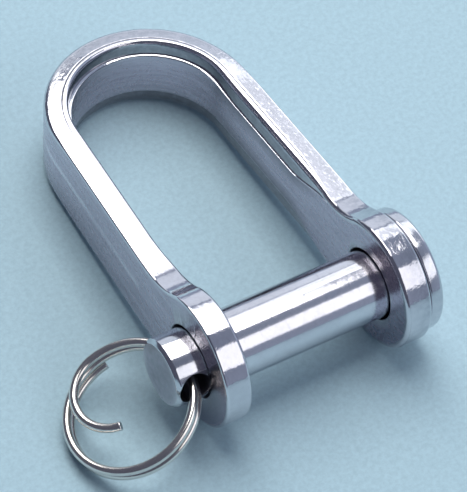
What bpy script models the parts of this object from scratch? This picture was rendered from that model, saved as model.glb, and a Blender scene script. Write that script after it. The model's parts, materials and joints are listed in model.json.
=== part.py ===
"""Strip shackle: a stamped and bent strap bow, a headed clevis pin and a split ring.

The bow is one strip of stainless steel bent to a U, with a round ear on each end.
The clevis pin passes through both ears and turns in them, and the split ring through
the pin's cross hole keeps it in. The shackle lies as it does on a flat surface, on
the two ears, the crown and the ring.
World axes: X along the pin towards its head, Y towards the crown, Z up. Metres.
"""
from math import asin, atan2, ceil, cos, hypot, pi, radians, sin, sqrt

import bmesh
import bpy
from mathutils import Matrix, Vector

MM = 0.001

# The strap bow
STRIP_THICKNESS = 2.0 * MM
STRIP_WIDTH = 6.0 * MM
CROWN_RADIUS = 5.7 * MM              # inner face of the bend
CROWN_TO_PIN = 19.6 * MM             # bend centre to pin axis
LEG_SPLAY = radians(1.9)             # each leg leans out towards its ear
EAR_RADIUS = 4.85 * MM
NECK_RADIUS = 6.0 * MM               # concave fillet between the strip's edge and the ear
NECK_BEND_RADIUS = 40.0 * MM         # brings the splayed leg back parallel at the ear
PIN_HOLE_RADIUS = 2.65 * MM

# Its edges
COIN_DEPTH = 0.68 * MM               # rounded inner edge, measured through the thickness
COIN_WIDTH = 1.4 * MM                # and across the strip
COIN_FULLNESS = 0.5                  # 1 is a plain ellipse, less a fuller, squarer curve
COIN_FADE = (5.5 * MM, 10.5 * MM)    # distance from the pin axis over which it runs out
EAR_EDGE = 0.3 * MM
OUTER_EDGE = 0.12 * MM

# The clevis pin
PIN_RADIUS = 2.5 * MM
HEAD_RADIUS = 4.5 * MM
HEAD_THICKNESS = 1.1 * MM
HEAD_ROUND = 0.35 * MM
HEAD_GAP = 0.2 * MM                  # play between the head and the ear
STUB_LENGTH = 2.35 * MM              # pin end beyond the far ear
END_CHAMFER = 0.25 * MM
CROSS_HOLE_RADIUS = 1.15 * MM
CROSS_HOLE_OFFSET = 1.0 * MM         # its axis beyond the ear's outer face
CROSS_HOLE_DIP = radians(8.5)        # the turned pin's hole slopes down towards the crown

# The split ring
WIRE_RADIUS = 0.325 * MM
RING_RADIUS = 4.6 * MM               # wire centre
RING_PITCH = 0.67 * MM               # layer to layer
RING_LEAN = radians(26.2)            # swung down from the pin's own line to the ground
RING_TWIST = radians(6.8)            # the ring's plane tips this much in the cross hole's play
RING_SAG = 0.44 * MM                 # how far the wire bows towards the ear in the hole
UPPER_END_ANGLE = radians(90.0)      # where the upper layer leaves the circle
LOWER_END_ANGLE = radians(-638.0)    # where the lowest layer ends
LOWER_END_EASE = radians(70.0)
LOWER_END_INSET = 0.15 * MM
HOOK_RADIUS = 2.9 * MM
HOOK_SWEEP = radians(156.0)

# Resolution
CROWN_STEPS = 20
LEG_STEPS = 5
FADE_STEPS = 6
NECK_STEPS = 8
EAR_STEPS = 18
COIN_STEPS = 5
PIN_STEPS = 64
RING_STEP = radians(9.0)
WELD_DISTANCE = 0.01 * MM

# Steel: colour and roughness
BOW_STEEL = (0.62, 0.62, 0.65), 0.22
PIN_STEEL = (0.66, 0.66, 0.69), 0.16
RING_STEEL = (0.70, 0.68, 0.64), 0.18


def smoothstep(value, low, high):
    """0 below low, 1 above high, smooth between."""
    u = min(max((value - low) / (high - low), 0.0), 1.0)
    return u * u * (3.0 - 2.0 * u)


# ---------------------------------------------------------------- derived lengths

LEG_LENGTH = CROWN_TO_PIN + CROWN_RADIUS * sin(LEG_SPLAY)
CROWN_ARC = CROWN_RADIUS * (pi / 2 - LEG_SPLAY)
PIN_STATION = CROWN_ARC + LEG_LENGTH                     # path length from apex to pin axis
NECK_REACH = sqrt((EAR_RADIUS + NECK_RADIUS) ** 2 - (STRIP_WIDTH / 2 + NECK_RADIUS) ** 2)
BEND_LENGTH = NECK_BEND_RADIUS * LEG_SPLAY
BEND_START = PIN_STATION - NECK_REACH - BEND_LENGTH


def bow_path(station):
    """Point on the strip's inner face and its outward direction, apex at station 0."""
    if station <= CROWN_ARC:
        angle = pi / 2 - station / CROWN_RADIUS
        outward = Vector((cos(angle), sin(angle), 0.0))
        return Vector((0.0, CROWN_TO_PIN, 0.0)) + CROWN_RADIUS * outward, outward
    outward = Vector((cos(LEG_SPLAY), sin(LEG_SPLAY), 0.0))
    along = Vector((sin(LEG_SPLAY), -cos(LEG_SPLAY), 0.0))
    start = Vector((0.0, CROWN_TO_PIN, 0.0)) + CROWN_RADIUS * outward
    if station <= BEND_START:
        return start + (station - CROWN_ARC) * along, outward
    bend_centre = start + (BEND_START - CROWN_ARC) * along - NECK_BEND_RADIUS * outward
    turned = min((station - BEND_START) / NECK_BEND_RADIUS, LEG_SPLAY)
    angle = LEG_SPLAY - turned
    outward = Vector((cos(angle), sin(angle), 0.0))
    along = Vector((sin(angle), -cos(angle), 0.0))
    straight = station - BEND_START - NECK_BEND_RADIUS * turned
    return bend_centre + NECK_BEND_RADIUS * outward + straight * along, outward


EAR_INNER_X = bow_path(PIN_STATION)[0].x
EAR_SHIFT_Y = bow_path(PIN_STATION)[0].y                 # the splay moves the pin axis a hair
EAR_OUTER_X = EAR_INNER_X + STRIP_THICKNESS
CROWN_OUTER_Y = CROWN_TO_PIN - EAR_SHIFT_Y + CROWN_RADIUS + STRIP_THICKNESS
# Lying down, the bow tips about its ears until the crown's lower edge is on the ground
REST_TILT = (asin(EAR_RADIUS / hypot(CROWN_OUTER_Y, STRIP_WIDTH / 2))
             - atan2(STRIP_WIDTH / 2, CROWN_OUTER_Y))


# ---------------------------------------------------------------- scene helpers

def clear_scene():
    for obj in list(bpy.data.objects):
        bpy.data.objects.remove(obj, do_unlink=True)


def new_collection(name):
    collection = bpy.data.collections.new(name)
    bpy.context.scene.collection.children.link(collection)
    return collection


def new_object(name, data, collection, parent=None):
    obj = bpy.data.objects.new(name, data)
    collection.objects.link(obj)
    obj.parent = parent
    return obj


def steel(name, color, roughness):
    material = bpy.data.materials.new(name)
    material.use_nodes = True
    shader = material.node_tree.nodes["Principled BSDF"]
    shader.inputs["Base Color"].default_value = (*color, 1.0)
    shader.inputs["Metallic"].default_value = 1.0
    shader.inputs["Roughness"].default_value = roughness
    return material


def cylinder_cutter(name, radius, length, collection, parent, location, axis):
    mesh = bpy.data.meshes.new(name)
    shape = bmesh.new()
    bmesh.ops.create_cone(shape, cap_ends=True, segments=PIN_STEPS, radius1=radius,
                          radius2=radius, depth=length)
    shape.to_mesh(mesh)
    shape.free()
    cutter = new_object(name, mesh, collection, parent)
    cutter.location = location
    cutter.rotation_euler = Vector(axis).to_track_quat("Z", "Y").to_euler()
    cutter.display_type = "WIRE"
    cutter.hide_render = True
    return cutter


def cut(obj, cutter):
    boolean = obj.modifiers.new(cutter.name, "BOOLEAN")
    boolean.operation = "DIFFERENCE"
    boolean.solver = "EXACT"
    boolean.object = cutter


# ---------------------------------------------------------------- the strap bow

def spaced(start, end, steps):
    return [start + (end - start) * step / steps for step in range(steps)]


def outline():
    """Half outline of the flat blank from the apex to the ear's tip.

    Yields (station, half width, edge normal along the strip, edge normal across it).
    """
    fade_start = PIN_STATION - COIN_FADE[1]
    neck_start = PIN_STATION - NECK_REACH
    stations = spaced(0.0, CROWN_ARC, CROWN_STEPS)
    stations += spaced(CROWN_ARC, fade_start, LEG_STEPS)
    stations += spaced(fade_start, neck_start, FADE_STEPS)
    points = [(station, STRIP_WIDTH / 2, 0.0, 1.0) for station in stations]
    neck_angle = asin(NECK_REACH / (EAR_RADIUS + NECK_RADIUS))
    for angle in spaced(0.0, neck_angle, NECK_STEPS):
        across = cos(angle)
        along = -sin(angle)
        points.append((neck_start - NECK_RADIUS * along,
                       STRIP_WIDTH / 2 + NECK_RADIUS * (1.0 - across), along, across))
    for angle in spaced(-neck_angle, pi / 2, EAR_STEPS):
        points.append((PIN_STATION + EAR_RADIUS * sin(angle),
                       EAR_RADIUS * cos(angle), sin(angle), cos(angle)))
    points.append((PIN_STATION + EAR_RADIUS, 0.0, 1.0, 0.0))
    return points


def edge_layers(station):
    """(depth through the strip, inset from the outline) from the inner to the outer face."""
    coin = smoothstep(PIN_STATION - station, *COIN_FADE)
    depth = EAR_EDGE + (COIN_DEPTH - EAR_EDGE) * coin
    width = EAR_EDGE + (COIN_WIDTH - EAR_EDGE) * coin
    power = 1.0 + (COIN_FULLNESS - 1.0) * coin
    layers = []
    for step in range(COIN_STEPS + 1):
        angle = pi / 2 * step / COIN_STEPS
        layers.append((depth * (1.0 - max(cos(angle), 0.0) ** power),
                       width * (1.0 - sin(angle) ** power)))
    layers.append((STRIP_THICKNESS - OUTER_EDGE, 0.0))
    layers.append((STRIP_THICKNESS, OUTER_EDGE))
    return layers


def bent(station, depth, height):
    point, outward = bow_path(station)
    return point + depth * outward + Vector((0.0, -EAR_SHIFT_Y, height))


def make_bow(collection, cutters, parent):
    shape = bmesh.new()
    upper = []
    lower = []
    for station, half_width, along, across in outline():
        rows = ([], [])
        for depth, inset in edge_layers(station):
            at = station - inset * along
            height = half_width - inset * across
            rows[0].append(shape.verts.new(bent(at, depth, height)))
            on_tip = half_width == 0.0
            rows[1].append(rows[0][-1] if on_tip else shape.verts.new(bent(at, depth, -height)))
        upper.append(rows[0])
        lower.append(rows[1])
    last = len(upper) - 1
    for here in range(last):
        there = here + 1
        for layer in range(len(upper[0]) - 1):
            for rows, flip in ((upper, False), (lower, True)):
                corners = [rows[here][layer], rows[here][layer + 1],
                           rows[there][layer + 1], rows[there][layer]]
                shape.faces.new(reversed(corners) if flip else corners)
        for layer, flip in ((0, True), (-1, False)):
            corners = [upper[here][layer], lower[here][layer], lower[there][layer]]
            if there != last:
                corners.append(upper[there][layer])
            shape.faces.new(reversed(corners) if flip else corners)
    bmesh.ops.recalc_face_normals(shape, faces=shape.faces)
    mesh = bpy.data.meshes.new("bow")
    shape.to_mesh(mesh)
    shape.free()
    bow = new_object("bow", mesh, collection, parent)
    mesh.materials.append(steel("bow_steel", *BOW_STEEL))
    mirror = bow.modifiers.new("other_leg", "MIRROR")
    mirror.use_axis = (True, False, False)
    mirror.merge_threshold = WELD_DISTANCE
    cut(bow, cylinder_cutter("pin_hole_cutter", PIN_HOLE_RADIUS, 4 * EAR_OUTER_X, cutters, bow,
                             (0.0, 0.0, 0.0), (1.0, 0.0, 0.0)))
    mesh.shade_smooth()
    mesh.set_sharp_from_angle(angle=radians(35.0))
    return bow


# ---------------------------------------------------------------- the clevis pin

def pin_profile():
    """(radius, place along the pin) from the head's outer face to the plain end."""
    head_inner = EAR_OUTER_X + HEAD_GAP
    head_outer = head_inner + HEAD_THICKNESS
    pin_end = -EAR_OUTER_X - STUB_LENGTH
    profile = [(0.0, head_outer)]
    for step in range(5):
        angle = pi / 2 * step / 4
        profile.append((HEAD_RADIUS - HEAD_ROUND * (1.0 - sin(angle)),
                        head_outer - HEAD_ROUND * (1.0 - cos(angle))))
    profile.append((HEAD_RADIUS, head_inner + HEAD_ROUND / 2))
    profile.append((HEAD_RADIUS - HEAD_ROUND / 2, head_inner))
    profile.append((PIN_RADIUS, head_inner))
    profile.append((PIN_RADIUS, pin_end + END_CHAMFER))
    profile.append((PIN_RADIUS - END_CHAMFER, pin_end))
    profile.append((0.0, pin_end))
    return profile


def make_pin(collection, cutters, parent):
    """The profile stands on the object's own Z, which lies along the pin's axis."""
    mesh = bpy.data.meshes.new("clevis_pin")
    profile = pin_profile()
    edges = [(index, index + 1) for index in range(len(profile) - 1)]
    mesh.from_pydata([(radius, 0.0, place) for radius, place in profile], edges, [])
    pin = new_object("clevis_pin", mesh, collection, parent)
    pin.rotation_euler = (0.0, pi / 2, 0.0)
    mesh.materials.append(steel("pin_steel", *PIN_STEEL))
    turn = pin.modifiers.new("turned", "SCREW")
    turn.axis = "Z"
    turn.steps = PIN_STEPS
    turn.render_steps = PIN_STEPS
    turn.use_merge_vertices = True
    turn.merge_threshold = WELD_DISTANCE
    turn.use_smooth_shade = True
    hole_place = (0.0, 0.0, -EAR_OUTER_X - CROSS_HOLE_OFFSET)
    hole_axis = (sin(CROSS_HOLE_DIP), cos(CROSS_HOLE_DIP), 0.0)
    cut(pin, cylinder_cutter("cross_hole_cutter", CROSS_HOLE_RADIUS, 4 * PIN_RADIUS, cutters, pin,
                             hole_place, hole_axis))
    return pin, Vector(hole_place)


# ---------------------------------------------------------------- the split ring

def ring_point(angle, inset=0.0):
    """Wire centre at an angle from the cross hole, in the ring's own frame.

    The frame's origin is the middle of the cross hole, Y runs along the hole and X points
    towards the ear. Each turn is one layer lower.
    """
    radius = RING_RADIUS - inset
    height = RING_PITCH * (0.5 + angle / (2 * pi))
    return ring_to_hole(radius * cos(angle), radius * sin(angle), height)


def ring_to_hole(along, across, height):
    flat = Vector((along - RING_RADIUS + RING_SAG, across, height))
    return Matrix.Rotation(RING_TWIST, 3, "X") @ flat


def hook_point(turn):
    """Wire centre on the upper end's inward curl, a smaller arc tangent to the circle."""
    shift = RING_RADIUS - HOOK_RADIUS
    angle = UPPER_END_ANGLE + turn
    height = RING_PITCH * (0.5 + UPPER_END_ANGLE / (2 * pi))
    return ring_to_hole(shift * cos(UPPER_END_ANGLE) + HOOK_RADIUS * cos(angle),
                        shift * sin(UPPER_END_ANGLE) + HOOK_RADIUS * sin(angle), height)


def ring_route():
    sweep = UPPER_END_ANGLE - LOWER_END_ANGLE
    steps = ceil(sweep / RING_STEP)
    points = []
    for step in range(steps + 1):
        angle = LOWER_END_ANGLE + sweep * step / steps
        ease = 1.0 - smoothstep(angle, LOWER_END_ANGLE, LOWER_END_ANGLE + LOWER_END_EASE)
        points.append(ring_point(angle, LOWER_END_INSET * ease))
    steps = ceil(HOOK_SWEEP / RING_STEP)
    points += [hook_point(HOOK_SWEEP * step / steps) for step in range(1, steps + 1)]
    return points


def make_ring(collection, pin, hole_place):
    curve = bpy.data.curves.new("split_ring", "CURVE")
    curve.dimensions = "3D"
    curve.bevel_depth = WIRE_RADIUS
    curve.bevel_resolution = 2
    curve.use_fill_caps = True
    route = ring_route()
    spline = curve.splines.new("POLY")
    spline.points.add(len(route) - 1)
    for point, place in zip(spline.points, route):
        point.co = (*place, 1.0)
    spline.use_smooth = True
    curve.materials.append(steel("ring_steel", *RING_STEEL))
    ring = new_object("split_ring", curve, collection, pin)
    # The ring's X is the pin's Z, its Y is the cross hole's axis
    towards_ear = Vector((0.0, 0.0, 1.0))
    along_hole = Vector((sin(CROSS_HOLE_DIP), cos(CROSS_HOLE_DIP), 0.0))
    upright = towards_ear.cross(along_hole)
    basis = Matrix((towards_ear, along_hole, upright)).transposed()
    swing = Matrix.Rotation(-RING_LEAN, 3, "Y")
    ring.location = hole_place
    ring.rotation_euler = (basis @ swing).to_euler()
    return ring


# ---------------------------------------------------------------- the whole shackle

def stand_on_ground(root, pieces):
    """Centres the shackle's box on the origin, with its lowest point at height zero."""
    bpy.context.view_layer.update()
    graph = bpy.context.evaluated_depsgraph_get()
    corners = []
    for piece in pieces:
        evaluated = piece.evaluated_get(graph)
        mesh = evaluated.to_mesh()
        corners += [evaluated.matrix_world @ vertex.co for vertex in mesh.vertices]
        evaluated.to_mesh_clear()
    low = [min(corner[axis] for corner in corners) for axis in range(3)]
    high = [max(corner[axis] for corner in corners) for axis in range(3)]
    root.location -= Vector(((low[0] + high[0]) / 2, (low[1] + high[1]) / 2, low[2]))


def main():
    clear_scene()
    pieces = new_collection("strip_shackle")
    cutters = new_collection("cutters")
    rest = new_object("rest_frame", None, pieces)
    rest.rotation_euler = (-REST_TILT, 0.0, 0.0)
    bow = make_bow(pieces, cutters, rest)
    pin, hole_place = make_pin(pieces, cutters, bow)
    ring = make_ring(pieces, pin, hole_place)
    stand_on_ground(rest, (bow, pin, ring))


main()
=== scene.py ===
"""Strip shackle: the finished look of the bow, clevis pin and split ring.

Metres. +X runs along the pin to its head, +Y to the crown, +Z up. Each piece is built in
its own frame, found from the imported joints, and rides on its body.
"""
import json
from math import asin, atan2, ceil, cos, exp, hypot, pi, radians, sin, sqrt

import bmesh
import bpy
from mathutils import Matrix, Vector


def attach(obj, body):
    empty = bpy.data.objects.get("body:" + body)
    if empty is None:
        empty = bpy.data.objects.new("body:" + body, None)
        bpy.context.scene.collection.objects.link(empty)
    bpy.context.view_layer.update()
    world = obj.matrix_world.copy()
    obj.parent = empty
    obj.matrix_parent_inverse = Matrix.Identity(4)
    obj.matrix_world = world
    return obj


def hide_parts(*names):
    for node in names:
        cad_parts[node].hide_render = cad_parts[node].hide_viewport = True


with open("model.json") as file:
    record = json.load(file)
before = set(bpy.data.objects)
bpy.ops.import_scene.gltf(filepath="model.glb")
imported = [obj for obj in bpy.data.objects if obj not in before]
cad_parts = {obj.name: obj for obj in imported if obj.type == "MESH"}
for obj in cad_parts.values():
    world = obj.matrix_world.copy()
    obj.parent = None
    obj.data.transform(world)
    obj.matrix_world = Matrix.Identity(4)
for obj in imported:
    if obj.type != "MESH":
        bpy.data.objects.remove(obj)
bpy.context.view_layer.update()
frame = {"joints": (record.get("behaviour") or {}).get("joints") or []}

MM = 0.001
NORMAL_WEIGHT = 80                   # above 50, larger faces count for more in the shading

# Bow
STRIP_THICKNESS = 2.0 * MM
STRIP_WIDTH = 6.0 * MM
CROWN_RADIUS = 5.7 * MM
CROWN_TO_PIN = 19.6 * MM
LEG_SPLAY = radians(1.9)
EAR_RADIUS = 4.85 * MM
NECK_RADIUS = 6.0 * MM
NECK_BEND_RADIUS = 40.0 * MM
PIN_HOLE_RADIUS = 2.65 * MM
HOLE_CHAMFER = 0.07 * MM
COIN_DEPTH = 0.68 * MM
COIN_WIDTH = 1.4 * MM
COIN_FULLNESS = 0.5                  # 1 is a plain ellipse, less a fuller, squarer curve
COIN_FADE = (5.5 * MM, 10.5 * MM)
COIN_STEP = 0.09 * MM                # the coined edge starts this far behind the inner wall
BEND_STEP = 0.11 * MM                # and this much more round the bend
STEP_FADE = 2.0 * MM
BEND_LIFT = 0.1 * MM                 # the coined edge's foot runs higher round the bend
COIN_GROOVE = 0.012 * MM             # the die's faint line along the coined edge's top
HIGHLIGHT_LINE_HEIGHT = 0.25 * MM             # a painted highlight line along the outer wall, above its middle
HIGHLIGHT_LINE_ROWS = ((0.42 * MM, 0.0), (0.22 * MM, 1.0), (-0.06 * MM, 1.0), (-0.22 * MM, 0.0))
EAR_EDGE = 0.32 * MM
OUTER_EDGE = 0.14 * MM
CROWN_OUTER_EDGE = 0.34 * MM         # the stretched side of the bend is rounder
BEND_FLARE = 0.15 * MM               # the bend is wider inside and narrower outside
BEND_FADE = 2.5 * MM
LEG_MATT = 0.8                       # one leg's edge is nearly as matt as the bend
CROWN_STEPS = 48
LEG_STEPS = 40
NECK_STEPS = 20
EAR_STEPS = 60
COIN_STEPS = 15
EDGE_STEPS = 5
HOLE_SIDES = 144
INNER_WALL_ROWS = 4
OUTER_WALL_ROWS = 5
BOW_SHARP_ANGLE = radians(32.0)

# Clevis pin
PIN_RADIUS = 2.5 * MM
HEAD_RADIUS = 4.5 * MM
HEAD_THICKNESS = 1.1 * MM
HEAD_ROUND = 0.35 * MM
HEAD_GAP = 0.2 * MM
STUB_LENGTH = 2.35 * MM
END_CHAMFER = 0.25 * MM
CROSS_HOLE_RADIUS = 1.15 * MM
COUNTERSINK = 0.07 * MM
END_MATT = 0.8                       # the head and the stub are nearly as matt as the bend
HEAD_ROUND_STEPS = 10
SHANK_STEPS = 16
PIN_SIDES = 160
CROSS_HOLE_SIDES = 96
PIN_SHARP_ANGLE = radians(34.0)

# Split ring
WIRE_RADIUS = 0.325 * MM
RING_RADIUS = 4.6 * MM
RING_PITCH = 0.67 * MM
RING_LEAN = radians(26.2)
RING_TWIST = radians(6.8)
RING_SAG = 0.44 * MM
UPPER_END_ANGLE = radians(90.0)
LOWER_END_ANGLE = radians(-638.0)
LOWER_END_EASE = radians(70.0)
LOWER_END_INSET = 0.15 * MM
HOOK_RADIUS = 2.9 * MM
HOOK_SWEEP = radians(156.0)
WIRE_END_ROUND = 0.07 * MM
WIRE_SIDES = 28
WIRE_END_STEPS = 4
COIL_STEP = radians(2.5)
HOOK_STEP = radians(3.0)
RING_SHARP_ANGLE = radians(50.0)

# Steel: noise scales in cells per metre, then the colours of its marks
STAIN_SCALE = 210.0
MOTTLE_SCALE = 1900.0
PEEL_SCALE = 2400.0
LINE_SCALE = 3200.0
SPECK_SCALE = 7000.0
FINE_LINE_SCALE = 11000.0
LINE_GREY = (0.42, 0.42, 0.46, 1.0)
SPECK_GREY = (0.33, 0.33, 0.37, 1.0)
# The walls and flat ends: a duller finish, also darkened and tinted as painted shade
DULL_SHADED_LIGHT = (0.57, 0.51, 0.60, 1.0)
DULL_SHADED_DARK = (0.46, 0.41, 0.49, 1.0)
MATT_GREY = (0.43, 0.44, 0.48, 1.0)
WORN_BRIGHT = (0.8, 0.8, 0.83, 1.0)
# Painted shade under the ledge and in the bow's corners
PAINTED_SHADE_GREY = (0.20, 0.20, 0.23, 1.0)
# Nearly black painted shade in the die's line
PAINTED_CREASE_SHADE = (0.03, 0.03, 0.04, 1.0)
# A painted highlight line along the outer wall
PAINTED_HIGHLIGHT_BRIGHT = (0.86, 0.82, 0.88, 1.0)
# Painted shade inside the drilled holes
HOLE_SHADE_DARK = (0.19, 0.19, 0.23, 1.0)

# Floor, room and camera
FLOOR_HALF_SIZE = 1.5
FIBRE_SCALE = 2600.0
FLOOR_DARK = (0.355, 0.495, 0.565, 1.0)
FLOOR_LIGHT = (0.415, 0.575, 0.645, 1.0)
ROOM_DARK = (0.11, 0.12, 0.17, 1.0)
ROOM_LIGHT = (0.42, 0.50, 0.66, 1.0)
ROOM_LIGHT_WAY = (1.0, 0.1, -0.2)
ROOM_STRENGTH = 0.9
OVERHEAD_HEIGHT = 0.5
SOFTBOX_DISTANCE = 0.6
SENSOR_WIDTH_MM = 36.0
LENS_MM = 189.5                      # the camera was fitted to the photo's outlines
CAMERA_PLACE = (-63.61 * MM, -90.43 * MM, 147.22 * MM)
CAMERA_ANGLES = (radians(37.191), radians(-5.357), radians(-30.756))
CAMERA_CLIP_START = 0.005


def smoothstep(value, low, high):
    u = min(max((value - low) / (high - low), 0.0), 1.0)
    return u * u * (3.0 - 2.0 * u)


def mix(a, b, amount):
    return a + (b - a) * amount


def bell(offset, width):
    """1 where the offset is 0, fading away over about a width."""
    return exp(-(offset / width) ** 2)


def spaced(start, end, steps):
    """Evenly spaced values from start up to the one before end."""
    return [start + (end - start) * step / steps for step in range(steps)]


# ---------------------------------------------------------------- frames

JOINTS = {joint["name"]: joint for joint in frame["joints"]}
PIN_CENTRE = Vector(JOINTS["pin_turn"]["pos_m"])
HOLE_CENTRE = Vector(JOINTS["ring_swing"]["pos_m"])
HOLE_AXIS = Vector(JOINTS["ring_swing"]["axis"]).normalized()

LEG_LENGTH = CROWN_TO_PIN + CROWN_RADIUS * sin(LEG_SPLAY)
CROWN_ARC = CROWN_RADIUS * (pi / 2 - LEG_SPLAY)
PIN_STATION = CROWN_ARC + LEG_LENGTH
NECK_REACH = sqrt((EAR_RADIUS + NECK_RADIUS) ** 2 - (STRIP_WIDTH / 2 + NECK_RADIUS) ** 2)
BEND_LENGTH = NECK_BEND_RADIUS * LEG_SPLAY
BEND_START = PIN_STATION - NECK_REACH - BEND_LENGTH


def bow_path(station):
    """Point on the strip's inner face and its outward direction, crown's middle at 0."""
    if station <= CROWN_ARC:
        angle = pi / 2 - station / CROWN_RADIUS
        outward = Vector((cos(angle), sin(angle), 0.0))
        return Vector((0.0, CROWN_TO_PIN, 0.0)) + CROWN_RADIUS * outward, outward
    outward = Vector((cos(LEG_SPLAY), sin(LEG_SPLAY), 0.0))
    along = Vector((sin(LEG_SPLAY), -cos(LEG_SPLAY), 0.0))
    start = Vector((0.0, CROWN_TO_PIN, 0.0)) + CROWN_RADIUS * outward
    if station <= BEND_START:
        return start + (station - CROWN_ARC) * along, outward
    bend_centre = start + (BEND_START - CROWN_ARC) * along - NECK_BEND_RADIUS * outward
    turn = min((station - BEND_START) / NECK_BEND_RADIUS, LEG_SPLAY)
    angle = LEG_SPLAY - turn
    outward = Vector((cos(angle), sin(angle), 0.0))
    along = Vector((sin(angle), -cos(angle), 0.0))
    straight = station - BEND_START - NECK_BEND_RADIUS * turn
    return bend_centre + NECK_BEND_RADIUS * outward + straight * along, outward


EAR_INNER_X = bow_path(PIN_STATION)[0].x
EAR_SHIFT_Y = bow_path(PIN_STATION)[0].y
EAR_OUTER_X = EAR_INNER_X + STRIP_THICKNESS
CROWN_OUTER_Y = CROWN_TO_PIN - EAR_SHIFT_Y + CROWN_RADIUS + STRIP_THICKNESS
REST_TILT = (asin(EAR_RADIUS / hypot(CROWN_OUTER_Y, STRIP_WIDTH / 2))
             - atan2(STRIP_WIDTH / 2, CROWN_OUTER_Y))
BOW_FRAME = Matrix.Translation(PIN_CENTRE) @ Matrix.Rotation(-REST_TILT, 4, "X")
# The pin's own Z runs to its head
PIN_FRAME = BOW_FRAME @ Matrix.Rotation(pi / 2, 4, "Y")
PIN_AXIS = Vector((1.0, 0.0, 0.0))
RING_BASIS = Matrix((PIN_AXIS, HOLE_AXIS, PIN_AXIS.cross(HOLE_AXIS))).transposed().to_4x4()
RING_FRAME = (Matrix.Translation(HOLE_CENTRE) @ RING_BASIS
              @ Matrix.Rotation(-RING_LEAN, 4, "Y"))


# ---------------------------------------------------------------- mesh helpers

def new_piece(name, shape, transform, material):
    """A mesh object with its place in its vertices."""
    mesh = bpy.data.meshes.new(name)
    shape.to_mesh(mesh)
    shape.free()
    mesh.transform(transform)
    piece = bpy.data.objects.new(name, mesh)
    bpy.context.scene.collection.objects.link(piece)
    mesh.materials.append(material)
    return piece


def turned(profile, steps):
    """A closed solid of revolution about Z from (radius, height) points."""
    shape = bmesh.new()
    rings = []
    for radius, height in profile:
        if radius == 0.0:
            rings.append([shape.verts.new((0.0, 0.0, height))])
            continue
        rings.append([shape.verts.new((radius * cos(2 * pi * step / steps),
                                       radius * sin(2 * pi * step / steps), height))
                      for step in range(steps)])
    for first, second in zip(rings, rings[1:]):
        for step in range(steps):
            after = (step + 1) % steps
            corners = []
            for vert in (first[step % len(first)], first[after % len(first)],
                         second[after % len(second)], second[step % len(second)]):
                if vert not in corners:
                    corners.append(vert)
            shape.faces.new(corners)
    bmesh.ops.recalc_face_normals(shape, faces=shape.faces)
    return shape


def rounded(corner, start, end, steps):
    """Points of a soft corner between start and end, both near the corner."""
    points = []
    for step in range(steps + 1):
        u = step / steps
        points.append(tuple(mix(mix(start[axis], corner[axis], u),
                                mix(corner[axis], end[axis], u), u) for axis in range(2)))
    return points


def carve(piece, cutter_shape, transform):
    """Cuts the turned shape out of the piece, then removes the cutter."""
    mesh = bpy.data.meshes.new("cutter")
    cutter_shape.to_mesh(mesh)
    cutter_shape.free()
    mesh.transform(transform)
    cutter = bpy.data.objects.new("cutter", mesh)
    bpy.context.scene.collection.objects.link(cutter)
    boolean = piece.modifiers.new("cut", "BOOLEAN")
    boolean.operation = "DIFFERENCE"
    boolean.solver = "EXACT"
    boolean.object = cutter
    graph = bpy.context.evaluated_depsgraph_get()
    result = bpy.data.meshes.new_from_object(piece.evaluated_get(graph))
    piece.modifiers.clear()
    piece.data = result
    bpy.data.objects.remove(cutter)
    bpy.data.meshes.remove(mesh)


def mark(piece, name, amount):
    """Writes a mesh attribute from a function of each vertex's place."""
    layer = piece.data.attributes.new(name, "FLOAT", "POINT")
    for vert in piece.data.vertices:
        layer.data[vert.index].value = amount(vert.co)


def finish_shading(piece, sharp_angle):
    piece.data.shade_smooth()
    piece.data.set_sharp_from_angle(angle=sharp_angle)
    even = piece.modifiers.new("even_normals", "WEIGHTED_NORMAL")
    even.keep_sharp = True
    even.weight = NORMAL_WEIGHT


# ---------------------------------------------------------------- steel

def add_node(tree, kind, inputs=None, **settings):
    node = tree.nodes.new(kind)
    for name, value in settings.items():
        setattr(node, name, value)
    for name, value in (inputs or {}).items():
        if isinstance(value, bpy.types.NodeSocket):
            tree.links.new(value, node.inputs[name])
        else:
            node.inputs[name].default_value = value
    return node


def noise(tree, place, scale, detail=3.0, roughness=0.55, stretch=(1.0, 1.0, 1.0)):
    """A noise from 0 to 1; scale is in cells per metre."""
    moved = add_node(tree, "ShaderNodeMapping", {"Vector": place, "Scale": stretch})
    pattern = add_node(tree, "ShaderNodeTexNoise",
                       {"Vector": moved.outputs["Vector"], "Scale": scale,
                        "Detail": detail, "Roughness": roughness})
    return pattern.outputs["Fac"]


def ramp(tree, value, low, high, to_low=0.0, to_high=1.0):
    remap = add_node(tree, "ShaderNodeMapRange",
                     {"Value": value, "From Min": low, "From Max": high,
                      "To Min": to_low, "To Max": to_high},
                     interpolation_type="SMOOTHSTEP")
    return remap.outputs["Result"]


def calc(tree, operation, first, second):
    node = add_node(tree, "ShaderNodeMath", {0: first, 1: second}, operation=operation)
    return node.outputs[0]


def product(tree, first, second):
    return calc(tree, "MULTIPLY", first, second)


def blend_color(tree, amount, first, second):
    node = add_node(tree, "ShaderNodeMix", {0: amount, 6: first, 7: second},
                    data_type="RGBA")
    return node.outputs[2]


def bumped(tree, height, distance, under=None):
    """A bump's normal, over another bump's where one is given."""
    inputs = {"Height": height, "Strength": 1.0, "Distance": distance}
    if under is not None:
        inputs["Normal"] = under
    return add_node(tree, "ShaderNodeBump", inputs).outputs["Normal"]


def attribute(tree, name):
    return add_node(tree, "ShaderNodeAttribute", attribute_name=name).outputs["Fac"]


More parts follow.
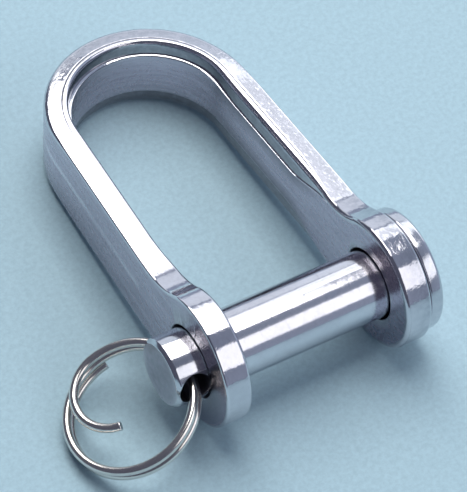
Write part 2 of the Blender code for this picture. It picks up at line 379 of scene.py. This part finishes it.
def steel(name, light, dark, roughness, grain, tumble):
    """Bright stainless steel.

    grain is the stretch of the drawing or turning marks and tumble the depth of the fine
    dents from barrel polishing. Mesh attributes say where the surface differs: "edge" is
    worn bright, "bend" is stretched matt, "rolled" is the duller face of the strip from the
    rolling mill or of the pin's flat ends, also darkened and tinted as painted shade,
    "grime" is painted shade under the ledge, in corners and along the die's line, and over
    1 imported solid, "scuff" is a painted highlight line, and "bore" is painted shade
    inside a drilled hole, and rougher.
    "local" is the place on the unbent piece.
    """
    material = bpy.data.materials.new(name)
    material.use_nodes = True
    tree = material.node_tree
    shader = tree.nodes["Principled BSDF"]
    shader.inputs["Metallic"].default_value = 1.0
    place = add_node(tree, "ShaderNodeAttribute", attribute_name="local").outputs["Vector"]

    stain = noise(tree, place, STAIN_SCALE, detail=2.0)
    mottle = noise(tree, place, MOTTLE_SCALE, detail=4.0, roughness=0.6)
    speck = noise(tree, place, SPECK_SCALE, detail=3.0, roughness=0.7)
    lines = noise(tree, place, LINE_SCALE, detail=3.0, roughness=0.65, stretch=grain)
    fine_lines = noise(tree, place, FINE_LINE_SCALE, detail=2.0, roughness=0.6,
                       stretch=grain)

    # Where each mark is, broken up by the noises
    # The walls and flat ends: duller, and darkened as painted shade
    dull_shaded_face = product(tree, attribute(tree, "dull_and_shaded"),
                        ramp(tree, mottle, 0.2, 0.7, 0.85, 1.0))
    patchy = product(tree, attribute(tree, "bend"),
                     ramp(tree, mottle, 0.35, 0.6, 0.45, 1.0))
    worn = product(tree, attribute(tree, "edge"), ramp(tree, mottle, 0.3, 0.6, 0.4, 1.0))
    # Painted shade under the ledge and along the coined edge's foot
    painted_shade = product(tree, attribute(tree, "painted_shade"),
                    ramp(tree, mottle, 0.2, 0.65, 0.7, 1.0))
    # Nearly black painted shade where that shade is strongest, in the die's line
    crease_shade = product(tree, ramp(tree, attribute(tree, "painted_shade"), 0.9, 1.7),
                     ramp(tree, speck, 0.4, 0.55, 0.35, 1.0))
    # A painted highlight line along the outer wall
    highlight_line = product(tree, attribute(tree, "painted_highlight"), ramp(tree, lines, 0.3, 0.6, 0.2, 1.0))
    # Painted shade inside the drilled holes
    hole_shade = attribute(tree, "hole_shade")

    tone = product(tree, ramp(tree, stain, 0.3, 0.7), 0.5)
    tone = calc(tree, "ADD", tone, ramp(tree, mottle, 0.3, 0.75, 0.0, 0.5))
    color = blend_color(tree, tone, (*light, 1.0), (*dark, 1.0))
    dull_shaded_color = blend_color(tree, ramp(tree, lines, 0.35, 0.7),
                               DULL_SHADED_LIGHT, DULL_SHADED_DARK)
    for amount, tint in (
            (ramp(tree, lines, 0.58, 0.78, 0.0, 0.25), LINE_GREY),
            (ramp(tree, speck, 0.62, 0.8, 0.0, 0.35), SPECK_GREY),
            (dull_shaded_face, dull_shaded_color),
            (product(tree, patchy, 0.9), MATT_GREY),
            (product(tree, worn, 0.6), WORN_BRIGHT),
            (product(tree, painted_shade, 0.75), PAINTED_SHADE_GREY),
            (crease_shade, PAINTED_CREASE_SHADE),
            (product(tree, highlight_line, 0.75), PAINTED_HIGHLIGHT_BRIGHT),
            (hole_shade, HOLE_SHADE_DARK)):
        color = blend_color(tree, amount, color, tint)
    tree.links.new(color, shader.inputs["Base Color"])

    rough = ramp(tree, mottle, 0.25, 0.8, roughness * 0.75, roughness * 1.35)
    for change in (
            ramp(tree, fine_lines, 0.35, 0.75, -0.01, 0.01),
            ramp(tree, stain, 0.35, 0.7, 0.0, 0.02),
            product(tree, dull_shaded_face, 0.2),
            product(tree, calc(tree, "POWER", patchy, 4.0), 0.14),
            product(tree, worn, -0.06),
            product(tree, painted_shade, 0.08),
            product(tree, hole_shade, 0.25)):
        rough = calc(tree, "ADD", rough, change)
    tree.links.new(rough, shader.inputs["Roughness"])

    peel = noise(tree, place, PEEL_SCALE, detail=1.0)
    peel = product(tree, product(tree, peel, attribute(tree, "bend")), 2.0)
    dented = bumped(tree, calc(tree, "ADD", mottle, peel), tumble)
    scratched = bumped(tree, lines, 0.35 * tumble, dented)
    pitted = bumped(tree, speck, 0.12 * tumble, scratched)
    tree.links.new(pitted, shader.inputs["Normal"])
    return material


# ---------------------------------------------------------------- the bow

def outline():
    """Half outline of the blank: (station, half width, edge normal along, across)."""
    neck_start = PIN_STATION - NECK_REACH
    stations = (spaced(0.0, CROWN_ARC, CROWN_STEPS)
                + spaced(CROWN_ARC, neck_start, LEG_STEPS))
    points = [(station, STRIP_WIDTH / 2, 0.0, 1.0) for station in stations]
    neck_angle = asin(NECK_REACH / (EAR_RADIUS + NECK_RADIUS))
    for angle in spaced(0.0, neck_angle, NECK_STEPS):
        across = cos(angle)
        along = -sin(angle)
        points.append((neck_start - NECK_RADIUS * along,
                       STRIP_WIDTH / 2 + NECK_RADIUS * (1.0 - across), along, across))
    for angle in spaced(-neck_angle, pi / 2, EAR_STEPS):
        points.append((PIN_STATION + EAR_RADIUS * sin(angle),
                       EAR_RADIUS * cos(angle), sin(angle), cos(angle)))
    points.append((PIN_STATION + EAR_RADIUS, 0.0, 1.0, 0.0))
    return points


def bend_amount(station):
    """How much of the crown's bend is at a station."""
    return 1.0 - smoothstep(station, CROWN_ARC - BEND_FADE, CROWN_ARC + BEND_FADE)


def section(station):
    """The strip's edge at a station, from near the inner wall's middle to the outer wall's.

    Each row is (depth, inset, edge wear, painted shade, painted highlight). The rows beside
    an edge hold the flat faces flat, so that an edge's shading doesn't spread over them.
    """
    coin = smoothstep(PIN_STATION - station, *COIN_FADE)
    bent = bend_amount(station)
    crisp = smoothstep(PIN_STATION - station, COIN_FADE[0], COIN_FADE[0] + STEP_FADE)
    step = (COIN_STEP + BEND_STEP * bent) * crisp
    depth = mix(EAR_EDGE, COIN_DEPTH, coin)
    width = mix(EAR_EDGE, COIN_WIDTH, coin) - BEND_LIFT * bent
    power = mix(1.0, COIN_FULLNESS, coin)
    outer = mix(OUTER_EDGE, CROWN_OUTER_EDGE, bent)
    wall_shade = coin * (1.0 - bent)

    # The inner wall, with painted shade just below the ledge, and the small step down to the
    # coined edge
    shelf = width + 0.24 * step
    rows = [(0.0, shelf + 1.2 * MM, 0.0, 0.0, 0.0),
            (0.0, shelf + 0.5 * MM, 0.15 * bent, 0.6 * wall_shade, 0.0),
            (0.0, shelf + 0.14 * MM, 0.3 * bent, wall_shade, 0.0),
            (0.0, shelf + 0.3 * step, 0.3 * crisp, 0.5 * wall_shade, 0.0),
            (0.1 * step, shelf, crisp, 0.0, 0.0),
            (0.88 * step, width, crisp, 0.0, 0.0),
            (step, width - 0.12 * step, 0.0, coin, 0.0)]

    # The coined edge, with painted shade along its foot
    for index in range(COIN_STEPS):
        angle = pi / 2 * (index + 0.5) / COIN_STEPS
        foot_shade = coin * (1.0 - smoothstep(angle, radians(24.0), radians(42.0)))
        rows.append((step + (depth - step) * (1.0 - cos(angle) ** power),
                     (width - 0.02 * MM) * (1.0 - sin(angle) ** power), 0.25, foot_shade, 0.0))

    # The die's line, painted nearly black as shade, and the flat edge beyond it
    groove = COIN_GROOVE * coin
    rows += [(depth - 0.06 * MM, 0.15 * groove, 0.2, 0.0, 0.0),
             (depth - 0.02 * MM, groove, 0.0, 2.0 * coin, 0.0),
             (depth + 0.02 * MM, groove, 0.0, 2.0 * coin, 0.0),
             (depth + 0.06 * MM, 0.0, 0.1, 0.0, 0.0),
             (depth + 0.14 * MM, 0.0, 0.0, 0.0, 0.0),
             (STRIP_THICKNESS - outer - 0.13 * MM, 0.0, 0.0, 0.0, 0.0),
             (STRIP_THICKNESS - outer - 0.05 * MM, 0.0, 0.2, 0.0, 0.0)]

    # The soft outer corner and the outer wall with its painted highlight line
    for index in range(EDGE_STEPS + 1):
        angle = pi / 2 * index / EDGE_STEPS
        rows.append((STRIP_THICKNESS - outer * (1.0 - sin(angle)),
                     outer * (1.0 - cos(angle)), 0.8, 0.0, 0.0))
    rows.append((STRIP_THICKNESS, outer + 0.08 * MM, 0.1, 0.0, 0.0))
    highlighted = (smoothstep(PIN_STATION - station, NECK_REACH + 0.6 * MM,
                          NECK_REACH + 1.4 * MM)
               * smoothstep(station, 0.6 * CROWN_ARC, CROWN_ARC))
    for offset, amount in HIGHLIGHT_LINE_ROWS:
        rows.append((STRIP_THICKNESS, STRIP_WIDTH / 2 - HIGHLIGHT_LINE_HEIGHT - offset, 0.0, 0.0,
                     amount * highlighted))
    return rows


def half_strip(shape):
    """The strip from the crown's middle to the +X ear, open at the crown's middle."""
    wear, matt, dull_and_shaded, shade_layer, painted_highlight = (
        shape.verts.layers.float.new(name)
        for name in ("edge", "bend", "dull_and_shaded", "painted_shade", "painted_highlight"))
    local = shape.verts.layers.float_vector.new("local")
    upper = []
    lower = []
    for station, half_width, along, across in outline():
        rows = ([], [])
        layers = section(station)
        bent = bend_amount(station)
        for layer, (depth, inset, worn, painted_shade, highlighted) in enumerate(layers):
            at = station - inset * along
            flare = BEND_FLARE * (1.0 - 2.0 * depth / STRIP_THICKNESS) * bent
            height = half_width - inset * across
            height += flare * min(1.0, 4.0 * height / STRIP_WIDTH)
            point, outward = bow_path(at)
            point = point + depth * outward - Vector((0.0, EAR_SHIFT_Y, 0.0))
            on_top = smoothstep(depth, COIN_DEPTH, COIN_DEPTH + 0.25 * MM)
            sheared = smoothstep(0.5 * MM - inset, 0.0, 0.3 * MM)
            for index, sign in enumerate((1.0, -1.0)):
                if half_width == 0.0 and index == 1:
                    rows[1].append(rows[0][-1])
                    continue
                vert = shape.verts.new(point + Vector((0.0, 0.0, sign * height)))
                vert[wear] = worn
                vert[matt] = max(bent, LEG_MATT) * on_top * sheared
                # The walls: a duller finish, also darkened as painted shade
                vert[dull_and_shaded] = float(layer < INNER_WALL_ROWS
                                     or layer >= len(layers) - OUTER_WALL_ROWS)
                vert[shade_layer] = painted_shade
                vert[painted_highlight] = highlighted if sign > 0.0 else 0.0
                vert[local] = (at, sign * height, depth)
                rows[index].append(vert)
        upper.append(rows[0])
        lower.append(rows[1])
    last = len(upper) - 1
    for here in range(last):
        there = here + 1
        for rows in (upper, lower):
            for layer in range(len(rows[0]) - 1):
                shape.faces.new([rows[here][layer], rows[here][layer + 1],
                                 rows[there][layer + 1], rows[there][layer]])
        for layer in (0, -1):
            corners = [upper[here][layer], lower[here][layer], lower[there][layer]]
            if there != last:
                corners.append(upper[there][layer])
            shape.faces.new(corners)


def add_other_half(shape):
    """The mirror image, on whose leg the edge is bright and the die's line has no painted
    shade.
    """
    matt = shape.verts.layers.float["bend"]
    shade_layer = shape.verts.layers.float["painted_shade"]
    local = shape.verts.layers.float_vector["local"]
    half = shape.verts[:] + shape.edges[:] + shape.faces[:]
    for item in bmesh.ops.duplicate(shape, geom=half)["geom"]:
        if isinstance(item, bmesh.types.BMVert):
            station, height, depth = item[local]
            bent = bend_amount(station)
            item.co.x = -item.co.x
            item[local] = (-station, height, depth)
            item[matt] = min(item[matt], bent)
            if depth > 0.5 * COIN_DEPTH:
                item[shade_layer] *= bent
    bmesh.ops.remove_doubles(shape, verts=shape.verts, dist=0.001 * MM)
    bmesh.ops.recalc_face_normals(shape, faces=shape.faces)


def hole_mouth(face, inwards):
    """Points of a pin hole's soft mouth, from outside the ear's face to inside the hole."""
    return [(PIN_HOLE_RADIUS + 3.0 * HOLE_CHAMFER, face - inwards * 2.0 * HOLE_CHAMFER),
            (PIN_HOLE_RADIUS + HOLE_CHAMFER, face),
            (PIN_HOLE_RADIUS + 0.3 * HOLE_CHAMFER, face + inwards * 0.7 * HOLE_CHAMFER),
            (PIN_HOLE_RADIUS, face + inwards * 1.4 * HOLE_CHAMFER)]


def ear_drill():
    """The shape drilled through both ears, with its mouths at their four faces."""
    end = EAR_OUTER_X + 2.0 * HOLE_CHAMFER
    profile = [(0.0, -end)]
    for near, far in ((-EAR_OUTER_X, -EAR_INNER_X), (EAR_INNER_X, EAR_OUTER_X)):
        profile += hole_mouth(near, 1.0) + hole_mouth(far, -1.0)[::-1]
    profile.append((0.0, end))
    return turned(profile, HOLE_SIDES)


def make_bow(material):
    shape = bmesh.new()
    half_strip(shape)
    add_other_half(shape)
    bow = new_piece("bow_body", shape, BOW_FRAME, material)
    carve(bow, ear_drill(), PIN_FRAME)

    def in_pin_hole(place):
        from_axis = hypot(place.y - PIN_CENTRE.y, place.z - PIN_CENTRE.z)
        return float(from_axis < PIN_HOLE_RADIUS + 0.01 * MM)

    # Painted shade inside the ears' pin holes
    mark(bow, "hole_shade", in_pin_hole)
    finish_shading(bow, BOW_SHARP_ANGLE)
    return bow


# ---------------------------------------------------------------- the clevis pin

def cross_drill():
    """The shape drilled through the pin for the ring, countersunk at both ends."""
    flare = CROSS_HOLE_RADIUS + COUNTERSINK
    reach = PIN_RADIUS - 0.22 * MM
    outside = PIN_RADIUS + 0.6 * MM
    half = [(CROSS_HOLE_RADIUS, reach - 0.12 * MM),
            (CROSS_HOLE_RADIUS + 0.3 * COUNTERSINK, reach),
            (flare, PIN_RADIUS - 0.02 * MM),
            (flare + 0.7 * MM, outside),
            (0.0, outside)]
    other_half = [(radius, -height) for radius, height in half[::-1]]
    return turned(other_half + half, CROSS_HOLE_SIDES)


def make_pin(material):
    head_in = EAR_OUTER_X + HEAD_GAP
    head_out = head_in + HEAD_THICKNESS
    end = -EAR_OUTER_X - STUB_LENGTH
    profile = [(share * HEAD_RADIUS, head_out) for share in (0.0, 0.3, 0.7)]
    for step in range(HEAD_ROUND_STEPS + 1):
        angle = pi / 2 * step / HEAD_ROUND_STEPS
        profile.append((HEAD_RADIUS - HEAD_ROUND * (1.0 - sin(angle)),
                        head_out - HEAD_ROUND * (1.0 - cos(angle))))
    bevel = HEAD_ROUND / 2
    profile += rounded((HEAD_RADIUS, head_in), (HEAD_RADIUS, head_in + bevel),
                       (HEAD_RADIUS - bevel, head_in), steps=6)
    neck = 0.08 * MM
    profile.append((PIN_RADIUS + 0.5 * MM, head_in))
    profile += rounded((PIN_RADIUS, head_in), (PIN_RADIUS + neck, head_in),
                       (PIN_RADIUS, head_in - neck), steps=4)
    profile += [(PIN_RADIUS, height)
                for height in spaced(EAR_INNER_X, -EAR_OUTER_X, SHANK_STEPS)]
    soft = 0.06 * MM
    shoulder = end + END_CHAMFER
    profile += rounded((PIN_RADIUS, shoulder), (PIN_RADIUS, shoulder + soft),
                       (PIN_RADIUS - 0.7 * soft, shoulder - 0.7 * soft), steps=3)
    face = PIN_RADIUS - END_CHAMFER
    profile += rounded((face, end), (face + 0.7 * soft, end + 0.7 * soft),
                       (face - soft, end), steps=3)
    profile += [(0.75 * face, end), (0.35 * face, end), (0.0, end)]
    shape = turned(profile, PIN_SIDES)
    wear = shape.verts.layers.float.new("edge")
    matt = shape.verts.layers.float.new("bend")
    local = shape.verts.layers.float_vector.new("local")
    for vert in shape.verts:
        radius = hypot(vert.co.x, vert.co.y)
        rim = 0.5 * bell(radius - HEAD_RADIUS, 0.2 * MM)
        tip = bell(vert.co.z - shoulder, 0.08 * MM)
        lip = bell(vert.co.z - end, 0.06 * MM) * bell(radius - face, 0.08 * MM)
        vert[wear] = min(1.0, rim + tip + lip)
        vert[matt] = END_MATT * smoothstep(abs(vert.co.z), EAR_OUTER_X,
                                           EAR_OUTER_X + 0.4 * MM)
        vert[local] = vert.co
    pin = new_piece("pin_body", shape, PIN_FRAME, material)
    drill_way = HOLE_AXIS.to_track_quat("Z", "X").to_matrix().to_4x4()
    carve(pin, cross_drill(), Matrix.Translation(HOLE_CENTRE) @ drill_way)
    to_pin = PIN_FRAME.inverted()

    def in_cross_hole(place):
        offset = place - HOLE_CENTRE
        from_axis = (offset - offset.dot(HOLE_AXIS) * HOLE_AXIS).length
        return float(from_axis < CROSS_HOLE_RADIUS + 0.5 * COUNTERSINK)

    def on_flat_end(place):
        height = (to_pin @ place).z
        return float(height < end + 0.01 * MM or height > head_out - 0.01 * MM
                     or abs(height - head_in) < 0.01 * MM)

    # Painted shade inside the cross hole
    mark(pin, "hole_shade", in_cross_hole)
    # The flat ends: a duller finish, also darkened as painted shade
    mark(pin, "dull_and_shaded", on_flat_end)
    finish_shading(pin, PIN_SHARP_ANGLE)
    return pin


# ---------------------------------------------------------------- the split ring

def ring_flat(along, across, height):
    """From the coil's flat frame, tipped in the cross hole, to the ring's frame."""
    point = Vector((along - RING_RADIUS + RING_SAG, across, height))
    return Matrix.Rotation(RING_TWIST, 3, "X") @ point


def ring_route():
    """The wire's middle line, from its lower end up the coil and into the hook."""
    sweep = UPPER_END_ANGLE - LOWER_END_ANGLE
    steps = ceil(sweep / COIL_STEP)
    route = []
    for step in range(steps + 1):
        angle = LOWER_END_ANGLE + sweep * step / steps
        ease = 1.0 - smoothstep(angle, LOWER_END_ANGLE, LOWER_END_ANGLE + LOWER_END_EASE)
        radius = RING_RADIUS - LOWER_END_INSET * ease
        height = RING_PITCH * (0.5 + angle / (2 * pi))
        route.append(ring_flat(radius * cos(angle), radius * sin(angle), height))
    shift = RING_RADIUS - HOOK_RADIUS
    height = RING_PITCH * (0.5 + UPPER_END_ANGLE / (2 * pi))
    steps = ceil(HOOK_SWEEP / HOOK_STEP)
    for step in range(1, steps + 1):
        angle = UPPER_END_ANGLE + HOOK_SWEEP * step / steps
        route.append(ring_flat(shift * cos(UPPER_END_ANGLE) + HOOK_RADIUS * cos(angle),
                               shift * sin(UPPER_END_ANGLE) + HOOK_RADIUS * sin(angle),
                               height))
    return route


def wire_rims(index, last):
    """The wire's rims at a route point, (shift, radius, edge wear). Its ends are rounded."""
    if 0 < index < last:
        return [(0.0, WIRE_RADIUS, 0.0)]
    outwards = 1.0 if index else -1.0
    rims = []
    for step in range(WIRE_END_STEPS + 1):
        angle = pi / 2 * step / WIRE_END_STEPS
        rims.append((outwards * WIRE_END_ROUND * (sin(angle) - 1.0),
                     WIRE_RADIUS - WIRE_END_ROUND * (1.0 - cos(angle)), 0.8))
    return rims if index else rims[::-1]


def make_ring(material):
    """The wire, swept along its route, with the cut ends slightly rounded."""
    route = ring_route()
    shape = bmesh.new()
    wear = shape.verts.layers.float.new("edge")
    local = shape.verts.layers.float_vector.new("local")
    side_way = Vector((0.0, 0.0, 1.0))
    loops = []
    last = len(route) - 1
    length = 0.0
    for index, place in enumerate(route):
        before = route[max(index - 1, 0)]
        length += (place - before).length
        ahead = (route[min(index + 1, last)] - before).normalized()
        side_way = (side_way - side_way.dot(ahead) * ahead).normalized()
        other_way = ahead.cross(side_way)
        for shift, radius, worn in wire_rims(index, last):
            loop = []
            for side in range(WIRE_SIDES):
                angle = 2 * pi * side / WIRE_SIDES
                way = cos(angle) * side_way + sin(angle) * other_way
                vert = shape.verts.new(place + shift * ahead + radius * way)
                vert[wear] = worn
                vert[local] = (length, radius * cos(angle), radius * sin(angle))
                loop.append(vert)
            loops.append(loop)
    for first, second in zip(loops, loops[1:]):
        for side in range(WIRE_SIDES):
            after = (side + 1) % WIRE_SIDES
            shape.faces.new([first[side], first[after], second[after], second[side]])
    shape.faces.new(loops[0][::-1])
    shape.faces.new(loops[-1])
    bmesh.ops.recalc_face_normals(shape, faces=shape.faces)
    ring = new_piece("ring_wire", shape, RING_FRAME, material)
    finish_shading(ring, RING_SHARP_ANGLE)
    return ring


# ---------------------------------------------------------------- floor, light, camera

def make_floor():
    shape = bmesh.new()
    bmesh.ops.create_grid(shape, x_segments=1, y_segments=1, size=FLOOR_HALF_SIZE)
    material = bpy.data.materials.new("floor_mat")
    material.use_nodes = True
    tree = material.node_tree
    shader = tree.nodes["Principled BSDF"]
    shader.inputs["Roughness"].default_value = 0.9
    shader.inputs["Specular IOR Level"].default_value = 0.2
    place = add_node(tree, "ShaderNodeTexCoord").outputs["Object"]
    fibre = noise(tree, place, FIBRE_SCALE, detail=4.0, roughness=0.75)
    color = blend_color(tree, ramp(tree, fibre, 0.3, 0.7), FLOOR_DARK, FLOOR_LIGHT)
    tree.links.new(color, shader.inputs["Base Color"])
    floor = new_piece("floor", shape, Matrix.Identity(4), material)


def area_light(name, width, height, radiance, color):
    """An even rectangle of light; radiance is the same however large it is."""
    light = bpy.data.lights.new(name, "AREA")
    light.shape = "RECTANGLE"
    light.size = width
    light.size_y = height
    light.energy = radiance * pi * width * height
    light.color = color
    lamp = bpy.data.objects.new(name, light)
    bpy.context.scene.collection.objects.link(lamp)
    lamp.visible_camera = False
    return lamp


def softbox(name, toward, width, height, radiance, color):
    """A light that faces the shackle from one side."""
    lamp = area_light(name, width, height, radiance, color)
    way = Vector(toward).normalized()
    lamp.location = SOFTBOX_DISTANCE * way
    lamp.rotation_euler = way.to_track_quat("Z", "Y").to_euler()


def overhead(name, low, high, radiance, color):
    """A level light over the rectangle between two corners."""
    lamp = area_light(name, high[0] - low[0], high[1] - low[1], radiance, color)
    lamp.location = ((low[0] + high[0]) / 2, (low[1] + high[1]) / 2, OVERHEAD_HEIGHT)


def make_world():
    """A dim room, lighter on one side."""
    world = bpy.data.worlds.new("studio")
    bpy.context.scene.world = world
    world.use_nodes = True
    tree = world.node_tree
    background = tree.nodes["Background"]
    way = add_node(tree, "ShaderNodeTexCoord").outputs["Generated"]
    toward = add_node(tree, "ShaderNodeVectorMath", {0: way, 1: ROOM_LIGHT_WAY},
                      operation="DOT_PRODUCT").outputs["Value"]
    color = blend_color(tree, ramp(tree, toward, -0.4, 0.7), ROOM_DARK, ROOM_LIGHT)
    tree.links.new(color, background.inputs["Color"])
    background.inputs["Strength"].default_value = ROOM_STRENGTH


def make_camera():
    data = bpy.data.cameras.new("camera")
    data.sensor_width = SENSOR_WIDTH_MM
    data.lens = LENS_MM
    data.clip_start = CAMERA_CLIP_START
    camera = bpy.data.objects.new("camera", data)
    bpy.context.scene.collection.objects.link(camera)
    camera.location = CAMERA_PLACE
    camera.rotation_euler = CAMERA_ANGLES
    bpy.context.scene.camera = camera


bow_steel = steel("bow_steel", light=(0.68, 0.66, 0.70), dark=(0.60, 0.58, 0.62),
                  roughness=0.07, grain=(0.06, 1.0, 1.0), tumble=0.010 * MM)
pin_steel = steel("pin_steel", light=(0.72, 0.70, 0.74), dark=(0.63, 0.61, 0.65),
                  roughness=0.13, grain=(0.25, 0.25, 1.0), tumble=0.004 * MM)
ring_steel = steel("ring_steel", light=(0.80, 0.76, 0.70), dark=(0.68, 0.64, 0.61),
                   roughness=0.18, grain=(0.08, 1.0, 1.0), tumble=0.004 * MM)

for piece, body, node, slot in (
        (make_bow(bow_steel), "bow", "bow", "bow_steel"),
        (make_pin(pin_steel), "clevis_pin", "clevis_pin", "pin_steel"),
        (make_ring(ring_steel), "split_ring", "split_ring", "ring_steel")):
    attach(piece, body)
    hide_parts(node)

make_floor()
# The level lights lie side by side, and the legs' flat edges mirror their borders
for name, low, high, radiance, color in (
        ("main_softbox", (-0.10, 0.24), (0.215, 0.67), 5.1, (1.0, 1.0, 0.98)),
        ("near_softbox", (-0.10, -0.03), (0.215, 0.24), 5.1, (1.0, 1.0, 0.98)),
        ("bright_edge", (0.215, 0.24), (0.268, 0.65), 2.2, (0.98, 1.0, 1.0)),
        ("soft_edge", (0.268, 0.28), (0.335, 0.62), 0.8, (0.97, 1.0, 1.0)),
        ("side_softbox", (0.335, 0.28), (0.95, 0.62), 1.6, (0.97, 1.0, 1.0))):
    overhead(name, low, high, radiance, color)
softbox("front_softbox", (0.373, -0.68, 0.63), 0.5, 0.34, 1.25, (1.0, 1.0, 1.0))
softbox("back_softbox", (0.37, 0.86, 0.34), 0.5, 0.26, 0.57, (0.94, 1.0, 1.0))
softbox("low_softbox", (0.83, 0.41, 0.37), 0.36, 0.3, 0.8, (0.98, 1.0, 1.0))
make_world()
make_camera()
bpy.context.scene.view_settings.view_transform = "Standard"
